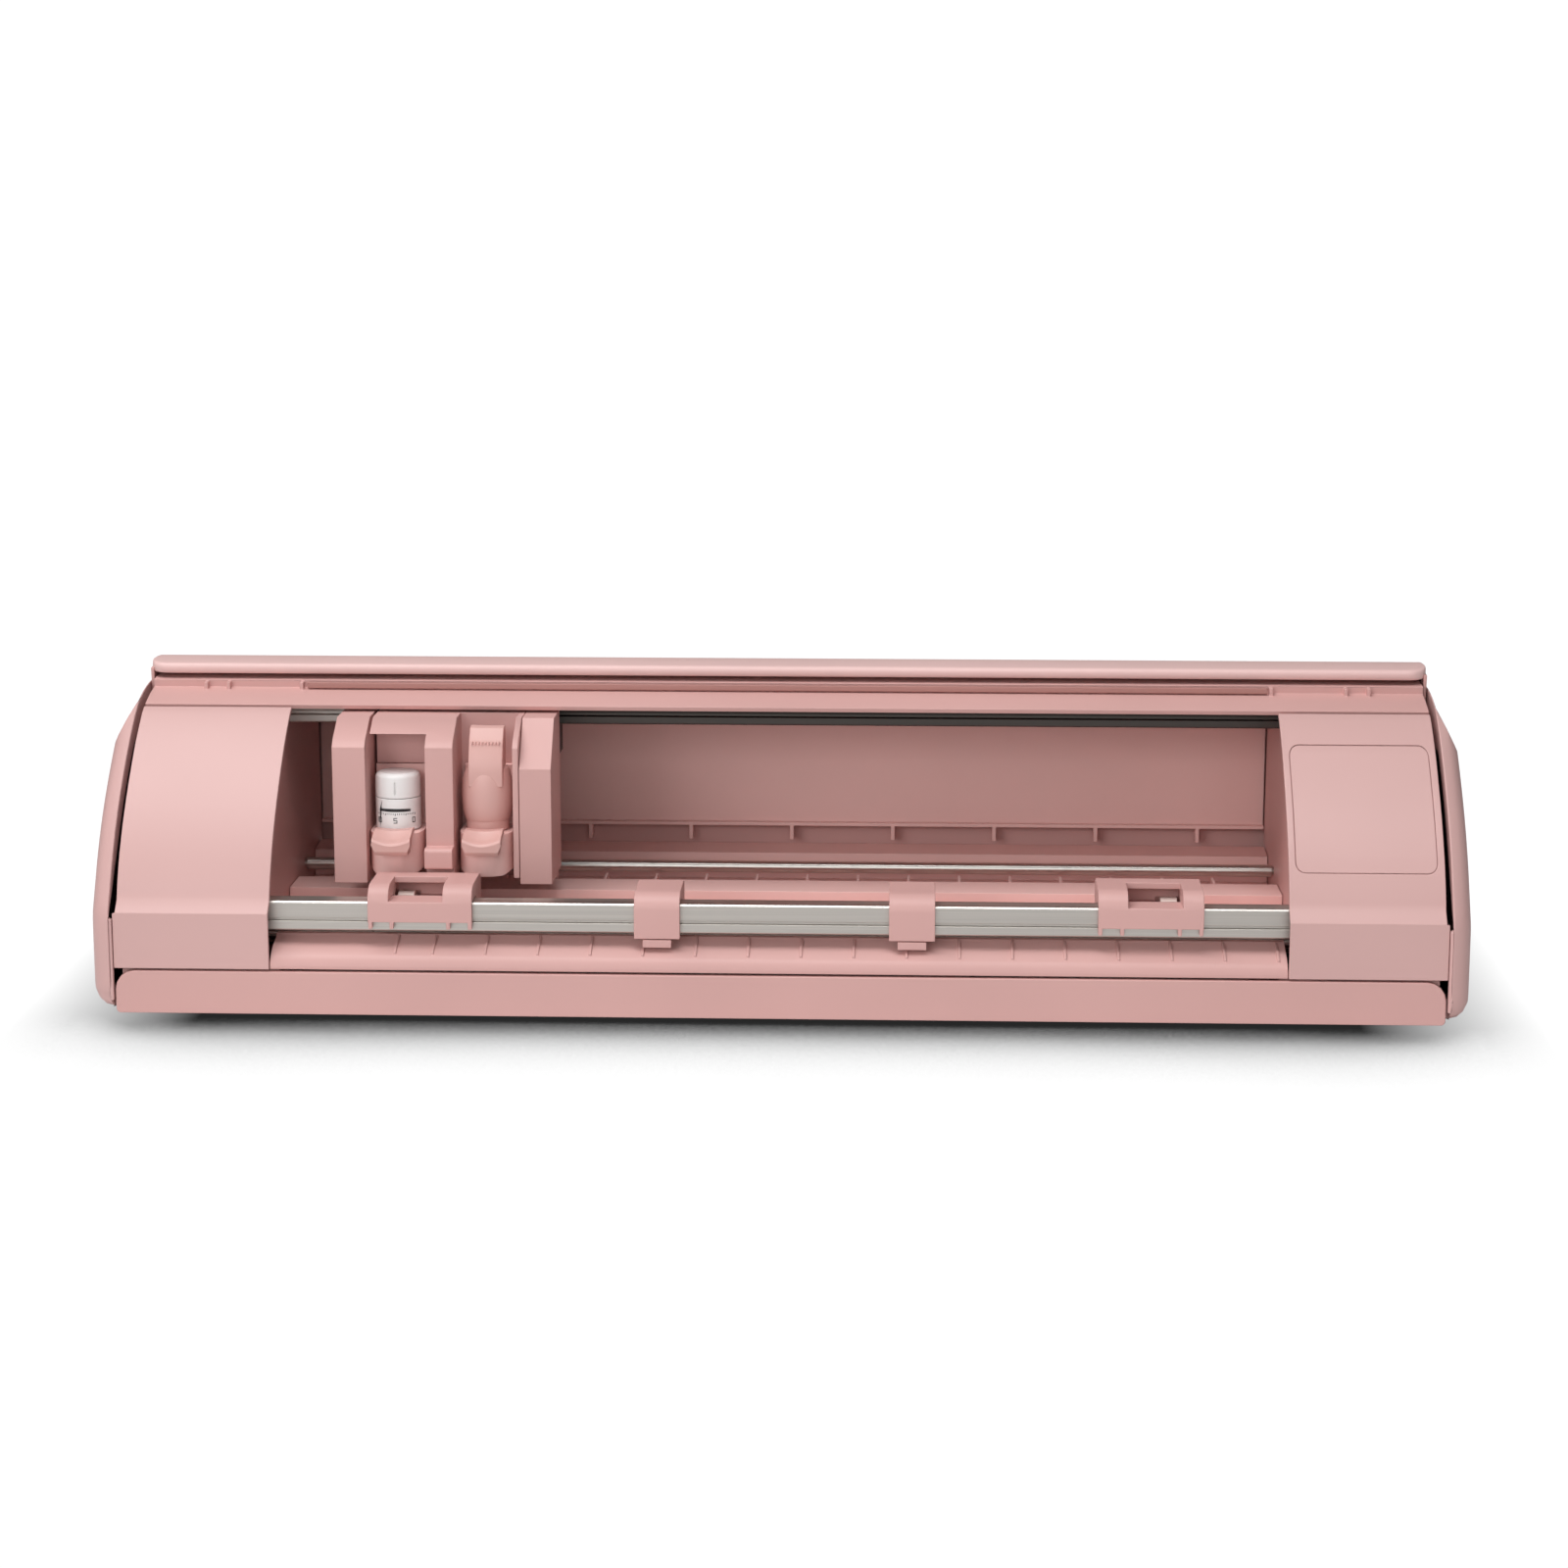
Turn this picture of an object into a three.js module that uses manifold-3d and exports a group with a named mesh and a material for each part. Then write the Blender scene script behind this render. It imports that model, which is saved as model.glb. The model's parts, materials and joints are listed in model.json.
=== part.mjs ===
// Desktop vinyl cutter, 15-inch class, roll-top lid open, millimetres, +Z up, front facing -Y.
// Pieces are laid out with y measured back from the front face; the group then centres the depth.
import * as THREE from "three";
import { mergeVertices } from "three/addons/utils/BufferGeometryUtils.js";
import Module from "manifold-3d";

const wasm = await Module();
wasm.setup();

// ---- driving dimensions ----
const MIDDLE = 104; // depth of the machine's middle behind the front face
const PIVOT = [112, 38]; // lid hinge line (y, z)
const LID_R = 115.5; // outer radius of the lid skin
const LID_WALL = 2.5;
const LID_OPEN = 97; // angle of the lid's front edge when open, 180 = forwards, 90 = up
const LID_SPAN = 64.5; // angle the lid covers
const LID_HALF = 311.8;
const FIXED_R = 108; // everything fixed under the lid stays inside this radius
const BEAM_R = 104.4; // the top beam's front band
const TOP_R = 105.3; // top of the side caps
const CAP_INNER = 312.4;
const CAP_FACE = 322;
const COVER_HALF = 309.7; // covers, beam and rear shell reach this far from the centre
const LEFT_EDGE = -237.7; // inner edges of the two side covers
const RIGHT_EDGE = 237.7;
const WALL_LEFT = -244; // inner faces of the two bulkheads
const WALL_RIGHT = 244;
const BAY = [WALL_LEFT + 0.4, WALL_RIGHT - 0.4]; // what is held between the bulkheads
const FOOT = 2.9;
const PAN = [3.2, 26]; // height of the base pan
const PAN_WALL = 2.4;
const REAR = 193; // depth of the rear face
const DRAWER_TOP = 22.3;
const SHEET_Z = 39.5; // height of the sheet at the drive roller and the cutting strip
const DRIVE = [32.3, 33.5]; // drive roller axis
const DRIVE_R = 6;
const PINCH = [32.3, 47.3]; // pinch roller axis
const PINCH_R = 7.5;
const CLIP_ROLLER = [32.3, 45.4];
const CLIP_ROLLER_R = 5.6;
const SUPPORT = [135, 45]; // sheet support rod axis
const BAR = { y: [9, 24], z: [40.4, 54.4] }; // pinch bar
const RAIL = { y: [100, 112], z: [123.5, 133.5] }; // carriage rail
const BELT_Y = 128;
const BELT_R = 6; // pitch radius of the belt pulleys
const PULLEY_X = [-272, 262];
const GEAR_TEETH = 28;
const PINION_TEETH = 10;
const GEAR_GAP = 19.3;
const TOOL_Y = 62;
const TOOL_X = [-184.6, -141.4];
const TOOL_R = 10.85;

// ---- materials ----
const finish = (colour, roughness, metalness) => () =>
  new THREE.MeshStandardMaterial({ color: colour, roughness, metalness });
const PINK = finish(0xdba9a5, 0.55, 0);
const PALE_PINK = finish(0xe4bdb6, 0.5, 0);
const WHITE = finish(0xeeeded, 0.4, 0);
const ALUMINIUM = finish(0xc6c3bd, 0.35, 0.9);
const STEEL = finish(0x8f8c88, 0.3, 1);
const DARK = finish(0x2b2b2d, 0.6, 0);
const RUBBER = finish(0x3a3638, 0.9, 0);
const BOARD = finish(0x27563c, 0.6, 0);
const NYLON = finish(0xd9d3c6, 0.6, 0);

// ---- outlines ----
const radians = (degrees) => (degrees * Math.PI) / 180;

// Points on a circle about the lid pivot, as (y, z).
function arc(r, from, to, steps) {
  return Array.from({ length: steps + 1 }, (_, i) => {
    const a = radians(from + ((to - from) * i) / steps);
    return [PIVOT[0] + r * Math.cos(a), PIVOT[1] + r * Math.sin(a)];
  });
}

function disc([u, v], r, steps = 24) {
  return Array.from({ length: steps }, (_, i) => {
    const a = (2 * Math.PI * i) / steps;
    return [u + r * Math.cos(a), v + r * Math.sin(a)];
  });
}

// A rectangle whose four corners, from low-left anticlockwise, have their own radii.
function rounded([u0, u1], [v0, v1], radii, steps = 4) {
  const corners = [
    [u0, v0, 180, 1, 1],
    [u1, v0, 270, -1, 1],
    [u1, v1, 0, -1, -1],
    [u0, v1, 90, 1, -1],
  ];
  return corners.flatMap(([u, v, start, du, dv], i) => {
    const r = radii[i];
    if (r === 0) return [[u, v]];
    return Array.from({ length: steps + 1 }, (_, k) => {
      const a = radians(start + (90 * k) / steps);
      return [u + du * r + r * Math.cos(a), v + dv * r + r * Math.sin(a)];
    });
  });
}

// A line moved sideways by t, to its right when walked from its first point.
function offset(line, t) {
  const normals = line.slice(1).map(([u, v], i) => {
    const du = u - line[i][0];
    const dv = v - line[i][1];
    const l = Math.hypot(du, dv);
    return [dv / l, -du / l];
  });
  return line.map(([u, v], i) => {
    const a = normals[Math.max(i - 1, 0)];
    const b = normals[Math.min(i, normals.length - 1)];
    const k = t / (1 + a[0] * b[0] + a[1] * b[1]);
    return [u + k * (a[0] + b[0]), v + k * (a[1] + b[1])];
  });
}

const band = (line, t) => [...line, ...offset(line, t).reverse()];

function toothed([u, v], teeth, addendum, turn) {
  const pitch = teeth / 2;
  const step = (2 * Math.PI) / teeth;
  const points = [];
  for (let i = 0; i < teeth; i++) {
    const a = turn + i * step;
    const corner = (r, k) => [u + r * Math.cos(a + k * step), v + r * Math.sin(a + k * step)];
    points.push(corner(pitch - 1.1, -0.28), corner(pitch + addendum, -0.12));
    points.push(corner(pitch + addendum, 0.12), corner(pitch - 1.1, 0.28));
  }
  return points;
}

// ---- solids ----
function solidOf(geometry) {
  const bare = geometry.clone();
  bare.deleteAttribute("normal");
  bare.deleteAttribute("uv");
  const merged = mergeVertices(bare, 1e-4);
  return new wasm.Manifold(
    new wasm.Mesh({
      numProp: 3,
      vertProperties: new Float32Array(merged.attributes.position.array),
      triVerts: new Uint32Array(merged.index.array),
    }),
  );
}

const PLACING = {
  x: (from) => new THREE.Matrix4().set(0, 0, 1, from, 1, 0, 0, 0, 0, 1, 0, 0, 0, 0, 0, 1),
  y: (from, to) => new THREE.Matrix4().set(1, 0, 0, 0, 0, 0, -1, to, 0, 1, 0, 0, 0, 0, 0, 1),
  z: (from) => new THREE.Matrix4().makeTranslation(0, 0, from),
};

// An outline swept along an axis: x takes (y, z), y takes (x, z) and z takes (x, y).
function sweep(axis, outline, [from, to]) {
  const shape = new THREE.Shape(outline.map(([u, v]) => new THREE.Vector2(u, v)));
  const depth = to - from;
  const geometry = new THREE.ExtrudeGeometry(shape, { depth, bevelEnabled: false });
  return solidOf(geometry.applyMatrix4(PLACING[axis](from, to)));
}

const rod = (axis, centre, r, span, steps) => sweep(axis, disc(centre, r, steps), span);

function box(x, y, z) {
  const geometry = new THREE.BoxGeometry(x[1] - x[0], y[1] - y[0], z[1] - z[0]);
  geometry.translate((x[0] + x[1]) / 2, (y[0] + y[1]) / 2, (z[0] + z[1]) / 2);
  return solidOf(geometry);
}

// A turned piece about the vertical line through (x, y), from (radius, height) pairs.
function turned([x, y], pairs, steps = 32) {
  const points = pairs.map(([r, z]) => new THREE.Vector2(r, z));
  const geometry = new THREE.LatheGeometry(points, steps);
  geometry.rotateX(Math.PI / 2).translate(x, y, 0);
  return solidOf(geometry);
}

const join = (...solids) => solids.reduce((a, b) => a.add(b));
const cut = (solid, ...tools) => tools.reduce((a, b) => a.subtract(b), solid);
const mirrored = (solid) => solid.mirror([1, 0, 0]);
const range = (from, to) => Array.from({ length: to - from + 1 }, (_, i) => from + i);

const machine = new THREE.Group();
machine.name = "vinyl_cutter";
machine.position.y = -MIDDLE;

function piece(name, solid, material) {
  const { numProp, vertProperties, triVerts } = solid.getMesh();
  const positions = new Float32Array(triVerts.length * 3);
  triVerts.forEach((v, i) => {
    positions.set(vertProperties.subarray(v * numProp, v * numProp + 3), i * 3);
  });
  const geometry = new THREE.BufferGeometry();
  geometry.setAttribute("position", new THREE.BufferAttribute(positions, 3));
  geometry.computeVertexNormals();
  const mesh = new THREE.Mesh(geometry, material());
  mesh.name = name;
  machine.add(mesh);
}

// ---- side profile of the body ----
const COVER_CURVE = new THREE.SplineCurve(
  [
    [5.6, 55.2],
    [8.6, 64],
    [15.5, 77],
    [25.5, 91],
    [37.5, 104.5],
    [54, 120.5],
    [70, 132.6],
    [75.8, 135.3],
  ].map(([y, z]) => new THREE.Vector2(y, z)),
)
  .getPoints(14)
  .map((p) => [p.x, p.y]);
const COVER_LINE = [[0.2, 23.4], [0.2, 50], ...COVER_CURVE];
const END_LINE = [
  ...offset(COVER_CURVE, 2.8).slice(0, -1),
  [82.5, 134.4],
  ...arc(100.7, 103, 46.8, 10),
];
const END_OUTLINE = [[8, 27.3], ...END_LINE, [183.8, 27.3]];

// ---- base ----
function basePan() {
  const [low, high] = PAN;
  const hollow = (x, y) => box(x, y, [low + PAN_WALL, high + 1]);
  const depth = [7.4, REAR - PAN_WALL];
  const runner = (side) => {
    const x = [229.3, 234].map((v) => v * side).sort((a, b) => a - b);
    return box(x, [6, 92.5], [8.6, 11.6]);
  };
  const posts = [];
  for (const x of [250, 297]) for (const y of [36, 159]) posts.push(rod("z", [x, y], 3, [5, 8.6], 12));
  let pan = cut(
    box([-308, 308], [5, REAR], PAN),
    hollow([-305.6, -237], depth),
    hollow([237, 305.6], depth),
    box([-233.4, 233.4], [-1, 92], [-1, 23.4]),
    hollow([-232, 232], [95, REAR - PAN_WALL]),
  );
  const cradle = cut(
    box([-298, -270], [36, 66], [5, 22]),
    box([-299, -269], [33, 67.4], [18.4, 60]),
  );
  const rear = cut(
    box([-308, 308], [REAR - PAN_WALL, REAR], [20, 44.5]),
    box([-243, 243], [REAR - 5, REAR + 5], [37.5, 50]),
  );
  pan = join(pan, rear, cradle, ...posts);
  pan = join(pan, runner(-1), runner(1));
  return cut(
    pan,
    box([261.6, 272.4], [185, 195], [11.6, 22.4]),
    box([283.6, 297.4], [185, 195], [11.6, 23.4]),
  );
}

const CAP_FRONT = new THREE.SplineCurve(
  [
    [-1.2, 30],
    [-0.9, 48],
    [2.6, 56.5],
    [7.2, 65],
    [14.5, 77.8],
    [24.6, 91.8],
    [36.8, 105.4],
    [53.4, 121],
    [67, 131.6],
    [76, 136.8],
  ].map(([y, z]) => new THREE.Vector2(y, z)),
)
  .getPoints(20)
  .map((p) => [p.x, p.y]);

function sideCap() {
  const outline = [
    ...rounded([-1.2, 194], [3, 60], [12, 12, 0, 0]).slice(0, -2),
    ...arc(TOP_R, Math.acos(82 / TOP_R) * (180 / Math.PI), 107, 18),
    ...[...CAP_FRONT].reverse(),
  ];
  const shape = new THREE.Shape(outline.map(([y, z]) => new THREE.Vector2(y, z)));
  const dome = new THREE.ExtrudeGeometry(shape, {
    depth: 1,
    bevelThickness: CAP_FACE - CAP_INNER - 0.5,
    bevelSize: 11,
    bevelOffset: -11,
    bevelSegments: 4,
  });
  dome.applyMatrix4(PLACING.x(CAP_INNER - 0.5));
  const hollow = [
    [8, 12],
    [185.5, 12],
    ...arc(TOP_R - 8.3, 41, 104, 14),
    ...offset(CAP_FRONT, 8.3).reverse(),
  ];
  return join(
    cut(
      solidOf(dome),
      box([290, CAP_INNER], [-20, 220], [-20, 180]),
      sweep("y", [[322.6, 117], [312.9, 138], [312.9, 170], [340, 170], [340, 117]], [-20, 220]),
      sweep("x", hollow, [CAP_INNER - 1, CAP_FACE - 3.5]).intersect(box([300, 330], [-20, 220], [0, 119])),
    ),
    box([311.2, CAP_INNER + 0.3], [-0.8, 2.2], [8, 47]),
    box([311.2, CAP_INNER + 0.3], [7, 186], [3.4, 13]),
    box([311.2, CAP_INNER + 0.3], [186, 192.6], [12, 80]),
    rod("x", PIVOT, 5, [COVER_HALF + 0.4, CAP_FACE - 3]),
  );
}

function sideCover(inner) {
  const shell = sweep("x", band(COVER_LINE, 2.2), [inner, COVER_HALF]);
  const flange = box([COVER_HALF - 1, 310.9], [0.2, 2.4], [23.4, 49.6]);
  const endLine = [[2, 27.3], [2, 50], ...END_LINE, [183.8, 27.3]];
  const endWall = sweep("x", endLine, [COVER_HALF - 2.2, COVER_HALF]);
  return join(shell, flange, endWall);
}

const PANEL = { x: [240.8, 306.4], z: [71, 123.4], radius: 4.5 };

function panelZone(grow) {
  const x = [PANEL.x[0] - grow, PANEL.x[1] + grow];
  const z = [PANEL.z[0] - grow, PANEL.z[1] + grow];
  return sweep("y", rounded(x, z, Array(4).fill(PANEL.radius + grow)), [-5, 90]);
}

function covers() {
  piece("left_cover", mirrored(sideCover(-LEFT_EDGE)), PINK);
  const pocket = sweep("x", band(offset(COVER_LINE, -1), 1.9), [200, COVER_HALF + 1]);
  piece("right_cover", cut(sideCover(RIGHT_EDGE), pocket.intersect(panelZone(0))), PINK);
  const sheet = sweep("x", band(COVER_LINE, 0.6), [200, COVER_HALF]);
  piece("touch_panel", sheet.intersect(panelZone(-0.35)), PALE_PINK);
  const cap = sideCap();
  piece("left_cap", mirrored(cap), PINK);
  piece("right_cap", cap, PINK);
}

function topAndRear() {
  const wide = [-COVER_HALF + 0.2, COVER_HALF - 0.2];
  const line = [...arc(BEAM_R, 109.7, 98, 6), ...arc(FIXED_R, 97.8, 88.6, 5)];
  const web = box(BAY, [104, 107], [RAIL.z[1] + 0.3, 144]);
  const ribs = [-283, -272, -236, 236, 272, 283].map((x) => box([x - 0.9, x + 0.9], [93.5, 98], [139, 144.4]));
  piece("top_beam", join(sweep("x", band(line, 2.4), wide), web, ...ribs), PINK);
  piece("beam_strip", box([-233.2, 234.4], [93.6, 96.2], [141.6, 144.4]), PALE_PINK);
  const rearLine = [...arc(FIXED_R, 88.2, 41.4, 16), [REAR, 45]];
  piece("rear_cover", sweep("x", band(rearLine, 2.4), wide), PINK);
  const fins = range(-4, 4).map((i) => {
    const x = 0.8 + 52.2 * i;
    return box([x - 1, x + 1], [181, 190], [49.4, 57.4]);
  });
  const wall = box(BAY, [184.4, 186.8], [56.6, 111]);
  const hem = box(BAY, [181, 186], [56.6, 58.4]);
  piece("rear_wall", join(wall, hem, ...fins), PINK);
}

function bulkheads() {
  const plate = (x) =>
    cut(
      sweep("x", END_OUTLINE, x),
      rod("x", DRIVE, 3.4, [-400, 400], 16),
      rod("x", SUPPORT, 2.2, [-400, 400], 16),
      box([-400, 400], [BELT_Y - 9, BELT_Y + 9], [123, 132]),
    );
  const left = [WALL_LEFT - 2.5, WALL_LEFT];
  const motorShelf = cut(
    box([-292, WALL_LEFT - 1], [110, 146], [120.4, 122.8]),
    rod("z", [PULLEY_X[0], BELT_Y], 4, [100, 140], 16),
  );
  piece("left_bulkhead", join(plate(left), motorShelf), PINK);
  const right = [WALL_RIGHT, WALL_RIGHT + 2.5];
  const idlerShelf = box([WALL_RIGHT + 1, 272], [120, 136], [119, 121.4]);
  const post = rod("z", [PULLEY_X[1], BELT_Y], 2.4, [120, 131.4], 16);
  piece("right_bulkhead", join(plate(right), idlerShelf, post), PINK);
}

function sheetPath() {
  const floor = [
    [39, 26.6],
    [39, 38.4],
    [56.6, 38.4],
    [56.6, 37.2],
    [67.4, 37.2],
    [67.4, 38.4],
    [70, 38.4],
    [70, 31],
    [88, 31],
    [88, 43],
    [113, 43],
    [113, 34],
    [159, 34],
    [159, 47],
    [176.5, 48.6],
    [187.4, 40],
    [187.4, 36.4],
  ];
  const ribs = range(-9, 8).map((i) => {
    const x = 10.8 + 25.3 * i;
    return box([x - 0.7, x + 0.7], [112, 130.6], [33, 42.2]);
  });
  piece("sheet_platform", join(sweep("x", band(floor, 2), BAY), ...ribs), PINK);
  piece("cutting_strip", box([-237.2, 236.8], [57, 67], [37.6, SHEET_Z]), DARK);

  const tray = [
    [4.7, 26.3],
    [4.7, 23.4],
    [1.2, 23.4],
    [1.2, 25.4],
    [2, 27.6],
    [3.4, 29.6],
    [7, 31.8],
    [18.5, 35.2],
    [20, 36.5],
    [23.2, 36.5],
    [23.2, 26.3],
  ];
  const fin = [
    [19.4, 36.5],
    [7, 32.9],
    [4.4, 31.2],
    [4.4, 29],
    [19.4, 33],
  ];
  const fins = [-7.72, ...range(-7, 9)].map((i) => {
    const x = 11.3 + 24.65 * i;
    return sweep("x", fin, [x - 0.6, x + 0.6]);
  });
  const across = [LEFT_EDGE + 0.4, RIGHT_EDGE - 0.4];
  piece("front_tray", join(sweep("x", tray, across), ...fins), PINK);

  const grips = [-176.2, -55.9, 63.2, 185.8].map((x) => rod("x", DRIVE, DRIVE_R, [x - 16, x + 16]));
  const core = rod("x", DRIVE, DRIVE_R - 0.6, BAY);
  const shaft = rod("x", DRIVE, 3, [-263, WALL_RIGHT + 2], 16);
  piece("drive_roller", join(core, shaft, ...grips), STEEL);
  const pins = rod("x", SUPPORT, 1.9, [WALL_LEFT - 2, WALL_RIGHT + 2], 16);
  piece("support_rod", join(rod("x", SUPPORT, 3, [BAY[0] + 0.4, BAY[1] - 0.4]), pins), ALUMINIUM);
}

function barAndRail() {
  const [y0, y1] = BAR.y;
  const [z0, z1] = BAR.z;
  const bar = [
    [y0 + 0.6, z0],
    [y1, z0],
    [y1, z1 - 2],
    [y1 - 4, z1 - 2],
    [y1 - 4, z1],
    [y0 + 0.9, z1],
    [y0, z1 - 0.9],
    [y0, 46.4],
    [y0 + 1.4, 46.2],
    [y0 + 1.4, 45.1],
    [y0, 44.9],
    [y0, z0 + 0.6],
  ];
  piece("pinch_bar", sweep("x", bar, BAY), ALUMINIUM);
  const [r0, r1] = RAIL.y;
  const [s0, s1] = RAIL.z;
  const rail = [
    [r0, s0 + 0.6],
    [r0 + 0.6, s0],
    [r1, s0],
    [r1, s1],
    [r0 + 0.6, s1],
    [r0, s1 - 0.6],
    [r0, s0 + 6.2],
    [r0 + 1.2, s0 + 5.8],
    [r0 + 1.2, s0 + 4.2],
    [r0, s0 + 3.8],
  ];
  piece("carriage_rail", sweep("x", rail, BAY), ALUMINIUM);
}

// ---- drives and electronics ----
function drives() {
  const turn = radians(10);
  const pinionAt = [DRIVE[0] + GEAR_GAP * Math.cos(turn), DRIVE[1] + GEAR_GAP * Math.sin(turn)];
  const wheel = sweep("x", toothed(DRIVE, GEAR_TEETH, 0.8, turn), [-262, -256]);
  piece("roller_gear", cut(wheel, rod("x", DRIVE, 3.3, [-270, -250], 16)), NYLON);
  const half = Math.PI / PINION_TEETH;
  const pinion = sweep("x", toothed(pinionAt, PINION_TEETH, 0.8, turn + Math.PI + half), [-262.5, -255.5]);
  piece("motor_pinion", pinion, STEEL);
  const [y, z] = pinionAt;
  const can = sweep("x", rounded([y - 17, y + 17], [z - 17, z + 17], [3, 3, 3, 3]), [-298, -266]);
  piece("feed_motor", join(can, rod("x", pinionAt, 2.5, [-267, -262.8], 16)), DARK);

  const [left, right] = PULLEY_X;
  const square = rounded([left - 17, left + 17], [BELT_Y - 17, BELT_Y + 17], [3, 3, 3, 3]);
  const motor = sweep("z", square, [84, 120.1]);
  piece("carriage_motor", join(motor, rod("z", [left, BELT_Y], 2.5, [119, 123.6], 16)), DARK);
  const pulley = (x, hole) => {
    const drum = join(
      rod("z", [x, BELT_Y], BELT_R - 0.6, [123.9, 131.2], 20),
      rod("z", [x, BELT_Y], BELT_R + 1.6, [123.9, 124.5], 20),
      rod("z", [x, BELT_Y], BELT_R + 1.6, [130.6, 131.2], 20),
    );
    return hole ? cut(drum, rod("z", [x, BELT_Y], 2.7, [120, 134], 16)) : drum;
  };
  piece("motor_pulley", pulley(left, false), ALUMINIUM);
  piece("idler_pulley", pulley(right, true), ALUMINIUM);
  const loop = (r) => {
    const v = [BELT_Y - r, BELT_Y + r];
    return rounded([left - r, right + r], v, [r, r, r, r], 8);
  };
  const belt = cut(sweep("z", loop(BELT_R + 0.9), [124.9, 130.2]), sweep("z", loop(BELT_R - 0.3), [120, 135]));
  piece("drive_belt", belt, RUBBER);

  const chips = [
    box([252, 266], [70, 84], [10, 12.4]),
    box([272, 282], [60, 70], [10, 12]),
    box([284, 292], [96, 112], [10, 17]),
    box([254, 262], [110, 130], [10, 15]),
    box([270, 288], [140, 146], [10, 14]),
  ];
  piece("control_board", join(box([246, 301], [32, 163], [8.9, 10.5]), ...chips), BOARD);
  const jack = box([262, 272], [170, 189.6], [12, 22]);
  const inlet = cut(jack, rod("y", [267, 17], 3.6, [178, 191]), rod("y", [267, 17], 3.6, [185, 191]));
  piece("power_inlet", join(inlet, rod("y", [267, 17], 1, [177, 188], 12)), DARK);
  const socket = box([284, 297], [168, 189.6], [12, 23]);
  const mouth = cut(box([285, 296], [176, 191], [13, 22]), box([288, 293], [174, 188], [16, 19]));
  piece("usb_socket", cut(socket, mouth), STEEL);
}

// ---- lid ----
function lid() {
  const close = LID_OPEN - LID_SPAN;
  const skin = sweep("x", band(arc(LID_R, LID_OPEN, close, 26), LID_WALL), [-LID_HALF, LID_HALF]);
  const plan = rounded([-LID_HALF, LID_HALF], [-61.7, 61.7], [9, 9, 9, 9]);
  const mask = sweep("z", plan, [60, 140])
    .rotate([(LID_OPEN + close) / 2 - 90, 0, 0])
    .translate([0, ...PIVOT]);
  const edge = sweep("x", [...arc(113.2, LID_OPEN, 95.8, 2), ...arc(110.5, 95.8, LID_OPEN, 2)], [-LID_HALF, LID_HALF]);
  piece("lid_shell", join(skin, edge).intersect(mask), PINK);

  const rim = [...arc(112.6, 95.4, 36, 20), ...arc(95.5, 36, 95.4, 14)];
  const spoke = (angle) => {
    const along = [Math.cos(radians(angle)), Math.sin(radians(angle))];
    const side = [-along[1] * 5, along[0] * 5];
    const at = (r, k) => [PIVOT[0] + r * along[0] + k * side[0], PIVOT[1] + r * along[1] + k * side[1]];
    return sweep("x", [at(4, -1), at(106, -1), at(106, 1), at(4, 1)], [310.2, LID_HALF]);
  };
  const arm = cut(
    join(sweep("x", rim, [310.2, LID_HALF]), rod("x", PIVOT, 11, [310.2, LID_HALF]), spoke(89), spoke(41)),
    rod("x", PIVOT, 5.3, [305, 315]),
  );
  piece("lid_arm_left", mirrored(arm), PINK);
  piece("lid_arm_right", arm, PINK);
}

// ---- roll feeder drawer ----
function drawer() {
  const front = sweep("y", rounded([-310.4, 310.4], [1.9, DRAWER_TOP], [2, 2, 9, 9]), [0, 4]);
  const side = (s) => {
    const x = (a, b) => [a * s, b * s].sort((p, q) => p - q);
    return cut(
      join(box(x(225, 227.4), [3, 88], [4, 19]), box(x(227, 232.6), [10, 86], [12, 14.6])),
      rod("x", [28, 13.5], 2.3, [-400, 400], 16),
      rod("x", [62, 13.5], 2.3, [-400, 400], 16),
    );
  };
  const floor = box([-227, 227], [3, 88], [4, 6.2]);
  const back = box([-227, 227], [85.6, 88], [4, 14]);
  piece("feeder_drawer", join(front, floor, back, side(-1), side(1)), PINK);
  const roller = (y) => join(rod("x", [y, 13.5], 6, [-223, 223], 20), rod("x", [y, 13.5], 2, [-226, 226], 16));
  piece("feeder_roller_front", roller(28), NYLON);
  piece("feeder_roller_rear", roller(62), NYLON);
}

// ---- pinch rollers ----
function pinchHousing() {
  const x = [-191.5, -142.6];
  const body = [
    [5.8, 45.2],
    [5.8, 54.2],
    [6.5, 57.4],
    [8.6, 60.2],
    [11.6, 61.9],
    [15, 62.4],
    [37, 62.4],
    [39.6, 61.6],
    [41, 59.4],
    [41, 46],
    [24.4, 46],
    [24.4, 54.8],
    [8.6, 54.8],
    [8.6, 45.2],
  ];
  const window = [-181.8, -156.4];
  const feet = [-190.4, -180.4, -153.8, -143.6].map((c) => box([c - 0.9, c + 0.9], [5.8, 8.6], [42, 45.6]));
  return join(
    cut(
      sweep("x", body, x),
      box(window, [4, 28], [55, 64]),
      box(window, [20, 37.4], [52, 59.4]),
      rod("x", PINCH, PINCH_R + 0.7, [-182.4, -171]),
      rod("x", PINCH, 1.8, [-185.8, -166.8], 16),
    ),
    ...feet,
  );
}

const pinchRoller = () =>
  join(rod("x", PINCH, PINCH_R, [-180.6, -172.8], 28), rod("x", PINCH, 1.5, [-185.2, -167.4], 16));

function middleClip() {
  const body = [
    [5.8, 38.4],
    [5.8, 52],
    [6.5, 55],
    [8.4, 57.6],
    [11.4, 59.3],
    [15, 59.8],
    [37, 59.8],
    [39.6, 59],
    [41, 56.8],
    [41, 45],
    [24.4, 45],
    [24.4, 54.8],
    [8.6, 54.8],
    [8.6, 38.4],
  ];
  return cut(
    sweep("x", body, [-10.7, 10.7]),
    rod("x", CLIP_ROLLER, CLIP_ROLLER_R + 0.7, [-4.4, 4.4]),
    box([-4.4, 4.4], [27, 37.6], [40, 46]),
    rod("x", CLIP_ROLLER, 1.5, [-7.4, 7.4], 16),
  );
}

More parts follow.
